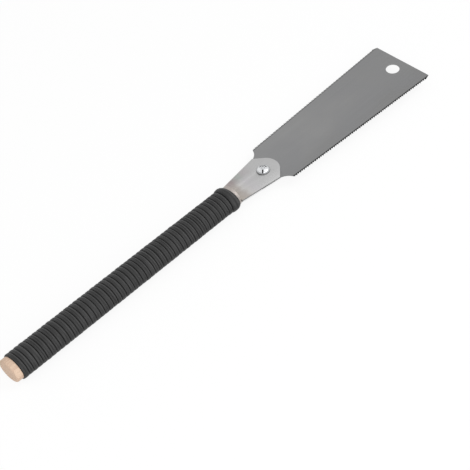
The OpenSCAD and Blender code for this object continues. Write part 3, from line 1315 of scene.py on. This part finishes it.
@dataclass
class Clamp:
    """Screw with a slot and a cross recess, its washer and the round nut under the holder."""

    thread_pitch: float = 0.8 * MM
    thread_depth: float = 0.35 * MM
    thread_rings: int = 6
    shank_radius: float = 2.5 * MM
    tip_bevel: float = 0.4 * MM
    dome_steps: int = 8
    rim_height: float = 0.5 * MM
    head_bevel: float = 0.12 * MM
    recess_length: float = 4.6 * MM
    recess_width: float = 1.3 * MM
    recess_depth: float = 1.1 * MM
    recess_taper: float = 0.45
    slot_width: float = 1.0 * MM
    slot_depth: float = 1.0 * MM
    recess_turn: float = math.radians(42)
    bore_radius: float = 2.55 * MM
    spigot_radius: float = 3.3 * MM
    washer_rim: float = 0.2 * MM
    nut_rim: float = 0.4 * MM
    rim_segments: int = 2
    turn_steps: int = 64

    def build(self) -> None:
        """Models the three turned pieces."""
        self.make_screw()
        self.make_washer()
        self.make_nut()

    def screw_profile(self, tip_z: float, head_z: float, top_z: float,
                      head_radius: float) -> list[tuple[float, float]]:
        """Half section of the screw, from its tip to the top of its head.

        Args:
            tip_z: Height of the tip.
            head_z: Height of the seat under the head.
            top_z: Height of the head's top.
            head_radius: Radius of the head.

        Returns:
            Radii and heights in order.
        """
        ring = self.thread_pitch / self.thread_rings
        count = int((head_z - tip_z - self.tip_bevel) / ring)
        shank = [(self.shank_radius, head_z - ring * i) for i in range(count, -1, -1)]
        dome_radius = self.dome_radius(top_z - head_z, head_radius)
        dome = []
        for i in range(self.dome_steps + 1):
            radius = (head_radius - self.head_bevel) * (1 - i / self.dome_steps)
            drop = dome_radius - math.sqrt(dome_radius ** 2 - radius ** 2)
            dome.append((radius, top_z - drop))
        rim = [(head_radius - self.head_bevel, head_z), (head_radius, head_z + self.head_bevel),
               (head_radius, head_z + self.rim_height - self.head_bevel)]
        return [(0.0, tip_z), (self.shank_radius - self.tip_bevel, tip_z), *shank, *rim, *dome]

    def dome_radius(self, height: float, radius: float) -> float:
        """Radius of the dome on a head of a given height and radius."""
        rise = height - self.rim_height
        return (rise ** 2 + radius ** 2) / (2 * rise)

    def make_screw(self) -> None:
        """Turns the screw from its profile, cuts its thread and sinks its recess and slot."""
        low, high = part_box("clamp_screw")
        axis = (low + high) / 2
        head_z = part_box("screw_washer")[1].z
        head_radius = (high.x - low.x) / 2
        profile = self.screw_profile(low.z, head_z, high.z, head_radius)
        stops = [Vector((axis.x + radius, axis.y, height)) for radius, height in profile]
        bench = Bench.vertex("screw", stops[0])
        with bench.editing():
            bench.pick_all()
            bench.extrude_through(*stops)
            bench.pick_all()
            bench.swing(axis, FULL_TURN, self.turn_steps)
            bench.face_out()
        self.cut_thread(bench, axis, low.z + self.tip_bevel, head_z - self.thread_pitch)
        top = Vector((axis.x, axis.y, high.z))
        recess = Vector((self.recess_length / 2, self.recess_width / 2, self.recess_depth))
        for turn in (self.recess_turn, self.recess_turn + math.pi / 2):
            bench.carve(self.recess_bar(top, recess, turn, self.recess_taper))
        slot = Vector((head_radius + MM, self.slot_width / 2, self.slot_depth))
        bench.carve(self.recess_bar(top, slot, self.recess_turn, 1.0))
        plating = ScrewPlate(top=tuple(top), slot_half=self.slot_width / 2, slot_turn=self.recess_turn)
        bench.deliver("screw", "screw_steel", plating.material(), "clamp_screw")

    def cut_thread(self, bench: Bench, axis: Vector, low_z: float, high_z: float) -> None:
        """Sinks a helical groove into the shank.

        Args:
            bench: Bench with the turned screw.
            axis: A point on the screw's axis.
            low_z: Where the thread starts.
            high_z: Where it ends.
        """
        for vert in bench.piece.data.vertices:
            arm = vert.co.xy - axis.xy
            if low_z < vert.co.z < high_z and abs(arm.length - self.shank_radius) < NEAR:
                phase = vert.co.z / self.thread_pitch - math.atan2(arm.y, arm.x) / FULL_TURN
                depth = self.thread_depth * abs(2 * (phase % 1) - 1)
                vert.co.xy = axis.xy + arm * (1 - depth / self.shank_radius)

    def recess_bar(self, top: Vector, half: Vector, turn: float, taper: float) -> Bench:
        """Makes one bar that is cut from the head.

        Args:
            top: Top of the head.
            half: Half length, half width and depth of the bar.
            turn: Angle of the bar about the screw.
            taper: Share of its size that its lower face keeps.

        Returns:
            Bench with the bar.
        """
        bench = Bench.block("recess", top - half, top + half)
        with bench.editing():
            bench.pick(Mode.FACE, lambda face: face.normal.z < -FACING)
            bench.resize(Vector((taper, taper, 1)), top - Vector((0, 0, half.z)))
            bench.pick_all()
            bpy.ops.transform.rotate(value=-turn, orient_axis="Z", center_override=top)
        return bench

    def make_washer(self) -> None:
        """Drills and rounds the washer."""
        low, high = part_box("screw_washer")
        centre = (low + high) / 2
        radius = (high.x - low.x) / 2
        foot = Vector((centre.x, centre.y, low.z))
        plating = BrightPlate(name="washer_plate", top=tuple(centre), rim_radius=radius).material()
        bench = Bench.rod("washer", foot, radius, high.z - low.z, self.turn_steps)
        bench.drill(centre, self.bore_radius, low.z, high.z)
        bench.round_rims(self.washer_rim, self.rim_segments, lambda p: p.z > high.z - NEAR)
        bench.deliver("washer", "screw_steel", plating, "screw_washer")

    def make_nut(self) -> None:
        """Raises the nut's spigot, drills it and bevels its rims."""
        low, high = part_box("clinch_nut")
        centre = (low + high) / 2
        radius = (high.x - low.x) / 2
        foot = Vector((centre.x, centre.y, low.z))
        collar_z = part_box("holder_under_plate")[0].z
        bench = Bench.rod("nut", foot, radius, collar_z - low.z, self.turn_steps)
        with bench.editing():
            bench.pick(Mode.FACE, lambda face: face.normal.z > FACING)
            bpy.ops.mesh.inset(thickness=radius - self.spigot_radius)
            bench.extrude(Vector((0, 0, high.z - collar_z)))
            bench.face_out()
        bench.drill(centre, self.bore_radius, low.z, high.z)
        bench.round_rims(self.nut_rim, self.rim_segments,
                         lambda p: p.z < low.z + NEAR and (p - centre).xy.length > radius - MM)
        bench.deliver("handle", "screw_steel", BrightPlate().material(), "clinch_nut")


@dataclass
class Handle:
    """Tapered oval core with a ferrule on its front and a strip wound round it."""

    butt_round: float = 1.5 * MM
    butt_segments: int = 6
    heart: Span = (14 * MM, -9 * MM)
    ferrule_wall: float = 0.6 * MM
    ferrule_lip: float = 0.35 * MM
    lip_segments: int = 4
    clearance: float = 0.02 * MM
    slot_clearance: float = 0.05 * MM
    turns: int = 50
    first_width: float = 0.42
    tightening: float = 0.035
    square_laid: float = 0.65
    top_turn: float = 0.59
    collar_width: float = 8 * MM
    collar_slant: float = 2.6 * MM
    collar_rise: float = 0.64 * MM
    collar_haste: float = 3.0
    gap: float = 0.03 * MM
    thickness: float = 1.28 * MM
    start_turn: float = math.radians(-75)
    step_over: float = 0.07
    end_room: float = 0.05
    turn_steps: int = 56
    crown_points: int = 21
    crown_power: float = 2.2
    groove_share: float = 0.22
    waves: tuple[Triple, ...] = ((0.31, 0.4, 0.45), (0.83, 2.1, 0.35), (1.57, 4.4, 0.2))
    wander: float = 0.24 * MM
    swell: float = 0.08
    swell_shift: float = 7.3
    crease: float = 0.42 * MM
    crease_width: float = 0.09
    crease_rate: float = 0.45
    crease_shift: float = 11.0
    crease_sway: float = 0.12
    sway_rate: float = 0.6
    sway_shift: float = 3.1
    top_shade_turn: float = math.radians(75)
    flat_turn: float = math.radians(-130)
    flat_share: float = 0.72

    def __post_init__(self) -> None:
        """Reads the handle's stations off the frame."""
        self.core_low, self.core_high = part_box("handle_core")
        self.cap_low, self.cap_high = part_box("ferrule")
        self.wrap_low, self.wrap_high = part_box("grip_winding")
        self.butt_half = (self.core_high - self.core_low) / 2
        self.front_half = (self.cap_high - self.cap_low) / 2
        self.centre_z = (self.core_low.z + self.core_high.z) / 2
        self.collar_x = self.wrap_high.x - self.collar_width
        self.span = self.turns - 1 + self.top_turn + self.first_width
        self.pitch = (self.collar_x - self.gap / 2 - self.wrap_low.x) / self.span

    def build(self) -> None:
        """Models the core, the ferrule and the winding."""
        heart_y, heart_z = self.heart
        self.make_core(PaleWood(heart_y=heart_y, heart_z=self.centre_z + heart_z).material())
        self.make_ferrule(FerruleSteel().material())
        top_turn = (self.top_shade_turn - self.start_turn) / FULL_TURN
        self.make_winding(WoundStrip(top_turn=top_turn).material())

    def core_half(self, x: float) -> Vector:
        """Half sizes of the tapered core at a station; only Y and Z count."""
        share = (self.cap_low.x - x) / (self.cap_low.x - self.core_low.x)
        return self.front_half.lerp(self.butt_half, max(0.0, share))

    def mortise(self) -> Bench:
        """Makes a block in the shape of the slot for the holder's tails.

        Returns:
            Bench with the block.
        """
        room = Vector((self.slot_clearance,) * 3)
        under_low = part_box("holder_under_plate")[0]
        top_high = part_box("holder_top_plate")[1]
        tail_half = Vector((0, Holder.tail_width / 2, 0))
        low = Vector((under_low.x, 0, under_low.z)) - tail_half - room
        high = Vector((self.cap_high.x + MM, 0, top_high.z)) + tail_half + room
        return Bench.block("mortise", low, high)

    def make_core(self, wood: bpy.types.Material) -> None:
        """Tapers an oval bar, draws out its spigot, rounds its butt and cuts its mortise and pin holes.

        Args:
            wood: Its material.
        """
        shoulder = Vector((self.cap_low.x, 0, self.centre_z))
        bench = Bench.oval_bar("wooden_core", self.core_low, Vector((shoulder.x, *self.core_high.yz)))
        with bench.editing():
            bench.pick(Mode.FACE, lambda face: face.normal.x > FACING)
            narrowing = [self.front_half[axis] / self.butt_half[axis] for axis in (1, 2)]
            bench.resize(Vector((1, *narrowing)), shoulder)
            bpy.ops.mesh.inset(thickness=self.ferrule_wall + self.clearance)
            bench.extrude(Vector((self.core_high.x - shoulder.x, 0, 0)))
        bench.round_rims(self.butt_round, self.butt_segments, lambda p: p.x < self.core_low.x + NEAR)
        bench.carve(self.mortise())
        for pin in pin_places():
            bench.drill(pin, Holder.pin_hole, self.core_low.z, self.core_high.z)
        bench.deliver("handle", "handle_wood", wood, "handle_core")

    def make_ferrule(self, steel: bpy.types.Material) -> None:
        """Hollows an oval bar to a cap with a rounded lip and a slot.

        Args:
            steel: Its material.
        """
        wall = Vector((self.ferrule_wall,) * 3)
        bench = Bench.oval_bar("ferrule_cap", self.cap_low, self.cap_high)
        bench.round_rims(self.ferrule_lip, self.lip_segments, lambda p: p.x > self.cap_high.x - NEAR)
        inside_low = self.cap_low + wall
        inside_low.x = self.cap_low.x - MM
        bench.carve(Bench.oval_bar("inside", inside_low, self.cap_high - wall))
        bench.carve(self.mortise())
        bench.deliver("handle", "ferrule_steel", steel, "ferrule")

    def drift(self, turn: float) -> float:
        """Slow uneven sum of waves along the winding, from about -1 to 1, at a count of turns."""
        return sum(share * math.sin(FULL_TURN * rate * turn + phase) for rate, phase, share in self.waves)

    def seam(self, turn: float) -> float:
        """Place along X of the groove in front of a turn; the turns lie almost square on the handle's top.

        Args:
            turn: Count of turns from the butt.

        Returns:
            The groove's middle.
        """
        sidestep = self.square_laid * math.sin(FULL_TURN * (turn - self.top_turn)) / FULL_TURN
        share = (turn + self.first_width - sidestep) / self.span
        evened = share + self.tightening * share * (1 - share)
        calm = ease(turn) * ease(self.turns - 1 - turn)
        return self.wrap_low.x + self.pitch * self.span * evened + self.wander * calm * self.drift(turn)

    def strip_edges(self, turn: float) -> tuple[float, float]:
        """Back and front edge of the strip; it starts square to the handle and its collar ends on a slant.

        Args:
            turn: Count of turns from the butt.

        Returns:
            The edges' places along X.
        """
        to_helix = ease((turn - 1) / self.step_over + 1)
        to_square = ease((turn - self.turns + 1) / self.step_over)
        to_collar = ease((turn - self.turns) / self.step_over)
        back = self.wrap_low.x
        back += (self.seam(turn - 1) + self.gap / 2 - back) * to_helix
        back += (self.collar_x - back) * to_collar
        front = self.seam(turn) - self.gap / 2
        front += (self.collar_x - self.gap - front) * to_square
        slant = self.collar_slant * (1 + math.cos(self.start_turn + FULL_TURN * turn)) / 2
        front += (self.wrap_high.x - slant - front) * to_collar
        return back, front

    def strip_height(self, share: float, turn: float) -> float:
        """Height of the strip's crown over its underside.

        Args:
            share: Place across the strip, from 0 to 1.
            turn: Count of turns from the butt.

        Returns:
            The height in metres.
        """
        collar = ease(self.collar_haste * (turn - self.turns) + 1)
        crown = (1 - abs(2 * share - 1) ** self.crown_power) ** 0.5
        uneven = self.swell * (self.drift(turn + self.swell_shift) - 1) * (1 - collar)
        full = self.thickness * (1 + uneven) + self.collar_rise * collar
        facing = math.cos(self.start_turn + FULL_TURN * turn - self.flat_turn)
        flat = ease(2 * facing - 1) * (1 - collar)
        groove = self.groove_share + (self.flat_share - self.groove_share) * flat
        line = 0.5 + self.crease_sway * self.drift(turn * self.sway_rate + self.sway_shift)
        creased = ease(0.5 + self.drift(turn * self.crease_rate + self.crease_shift))
        dent = self.crease * creased * (1 - collar) * (1 - flat)
        hollow = dent * math.exp(-((share - line) / self.crease_width) ** 2)
        return full * (groove + (1 - groove) * crown) - hollow

    def strip_point(self, turn: float, share: float, height: float) -> Vector:
        """Point of the strip laid on the oval core.

        Args:
            turn: Count of turns from the butt.
            share: Place across the strip, from 0 to 1.
            height: Height over the core.

        Returns:
            The point, no lower than the surface that the handle rests on.
        """
        back, front = self.strip_edges(turn)
        angle = self.start_turn + FULL_TURN * turn
        x = back + (front - back) * share
        half = self.core_half(x)
        rise = self.clearance + height
        return Vector((x, (half.y + rise) * math.cos(angle),
                       max(0.0, self.centre_z + (half.z + rise) * math.sin(angle))))

    def section_corner(self, turn: float, corner: int) -> tuple[float, Vector]:
        """Corner of the strip's section at a turn.

        Args:
            turn: Count of turns from the butt.
            corner: Number of the corner; the last two lie underneath.

        Returns:
            Its share of the way across the strip, and its point.
        """
        last = self.crown_points - 1
        if corner > last:
            share, height = float(corner == last + 1), 0.0
        else:
            share = (1 - math.cos(math.pi * corner / last)) / 2
            height = self.strip_height(share, turn)
        return share, self.strip_point(turn, share, height)

    def make_winding(self, strip: bpy.types.Material) -> None:
        """Sweeps a hoop round the handle and lays each ring of it as the strip's section.

        Args:
            strip: Its material.
        """
        sides = self.crown_points + 2
        bench = Bench.hoop("strip_winding", Vector((self.wrap_low.x, self.core_high.y, self.centre_z)),
                           self.thickness, sides)
        sweep = bench.piece.modifiers.new("sweep", "SCREW")
        sweep.axis = "X"
        sweep.screw_offset = self.pitch
        sweep.iterations = self.turns + 1
        sweep.steps = self.turn_steps
        sweep.render_steps = self.turn_steps
        bench.apply(sweep)
        self.lay_sections(bench.piece.data, sides)
        with bench.editing():
            bpy.ops.mesh.select_non_manifold()
            bpy.ops.mesh.edge_face_add()
            bench.face_out()
        bench.deliver("handle", "winding_strip", strip, "grip_winding")

    def lay_sections(self, mesh: bpy.types.Mesh, sides: int) -> None:
        """Moves the swept rings to the strip's sections and maps their turns and shares.

        Args:
            mesh: Swept mesh, ring after ring.
            sides: Corners of a ring.
        """
        rings = len(mesh.vertices) / sides - 1
        marks = []
        for index, vert in enumerate(mesh.vertices):
            ring, corner = divmod(index, sides)
            turn = (self.turns + 1 - self.end_room) * ring / rings
            share, vert.co = self.section_corner(turn, corner)
            marks.append((turn, share))
        layer = mesh.uv_layers.new(name="strip")
        layer.active_render = True
        for loop, mark in zip(mesh.loops, layer.uv):
            mark.vector = marks[loop.vertex_index]


@dataclass(frozen=True)
class Lamp:
    """Square lamp that faces the object, with its side in metres and its power in watts."""

    name: str
    place: Triple
    side: float
    power: float

    def hang(self) -> None:
        """Adds the lamp to the scene."""
        place = Vector(self.place)
        bpy.ops.object.light_add(type="AREA", location=place)
        lamp = bpy.context.active_object
        lamp.name = self.name
        lamp.data.size = self.side
        lamp.data.energy = self.power
        lamp.rotation_mode = "QUATERNION"
        lamp.rotation_quaternion = (-place).to_track_quat("-Z", "Y")


@dataclass
class Studio:
    """White floor and sky, soft lamps and the camera."""

    camera_place: Triple = (-0.4783, -0.6259, 0.8088)
    camera_aim: Triple = (-0.0149, -0.0305, 0.0095)
    camera_roll: float = math.radians(-9.31)
    lens: float = 114.5
    sensor: float = 36.0
    sky_light: float = 0.5
    floor_size: float = 8.0
    floor_drop: float = 0.1 * MM
    lamps: tuple[Lamp, ...] = (Lamp("key", (0.7, -0.45, 1.15), 0.9, 4.8),
                               Lamp("fill", (-0.6, -0.95, 0.75), 1.2, 6.6))

    def build(self) -> None:
        """Sets up the camera, the sky, the floor and the lamps."""
        self.set_camera()
        self.set_sky()
        self.lay_floor()
        for lamp in self.lamps:
            lamp.hang()
        bpy.context.scene.view_settings.view_transform = "Standard"

    def set_camera(self) -> None:
        """Adds the camera and takes it as the scene's."""
        place, aim = Vector(self.camera_place), Vector(self.camera_aim)
        bpy.ops.object.camera_add(location=place)
        camera = bpy.context.active_object
        camera.name = "camera"
        camera.data.sensor_width = self.sensor
        camera.data.lens = self.lens
        camera.data.dof.use_dof = False
        camera.rotation_mode = "QUATERNION"
        level = (aim - place).to_track_quat("-Z", "Y")
        camera.rotation_quaternion = level @ Quaternion((0, 0, 1), self.camera_roll)
        bpy.context.scene.camera = camera

    def set_sky(self) -> None:
        """Makes a sky that is white to the eye and softer as a light."""
        world = bpy.data.worlds.new("sky")
        world.use_nodes = True
        sheet = NodeSheet(world.node_tree)
        light, white = [sheet.tap("ShaderNodeBackground", None, {"Color": grey(1.0), "Strength": strength})
                        for strength in (self.sky_light, 1.0)]
        sheet.add("ShaderNodeOutputWorld", None, {"Surface": sheet.two_faced(light, white)})
        bpy.context.scene.world = world

    def lay_floor(self) -> None:
        """Lays the floor just under the object."""
        clear_selection()
        height = CAD_BOX[0].z - self.floor_drop
        bpy.ops.mesh.primitive_plane_add(size=self.floor_size, location=(0, 0, height))
        floor = bpy.context.active_object
        floor.name = "floor"
        floor.data.materials.append(PaleFloor().material())


def main() -> None:
    """Builds the saw's sub-assemblies in order and sets them on the stage."""
    logging.basicConfig(level=logging.INFO, format="%(message)s")
    clear_selection()
    for assembly in (Studio(), Blade(), Holder(), Clamp(), Handle()):
        assembly.build()
        LOG.info("%s is done", type(assembly).__name__)


if __name__ == "__main__":
    main()
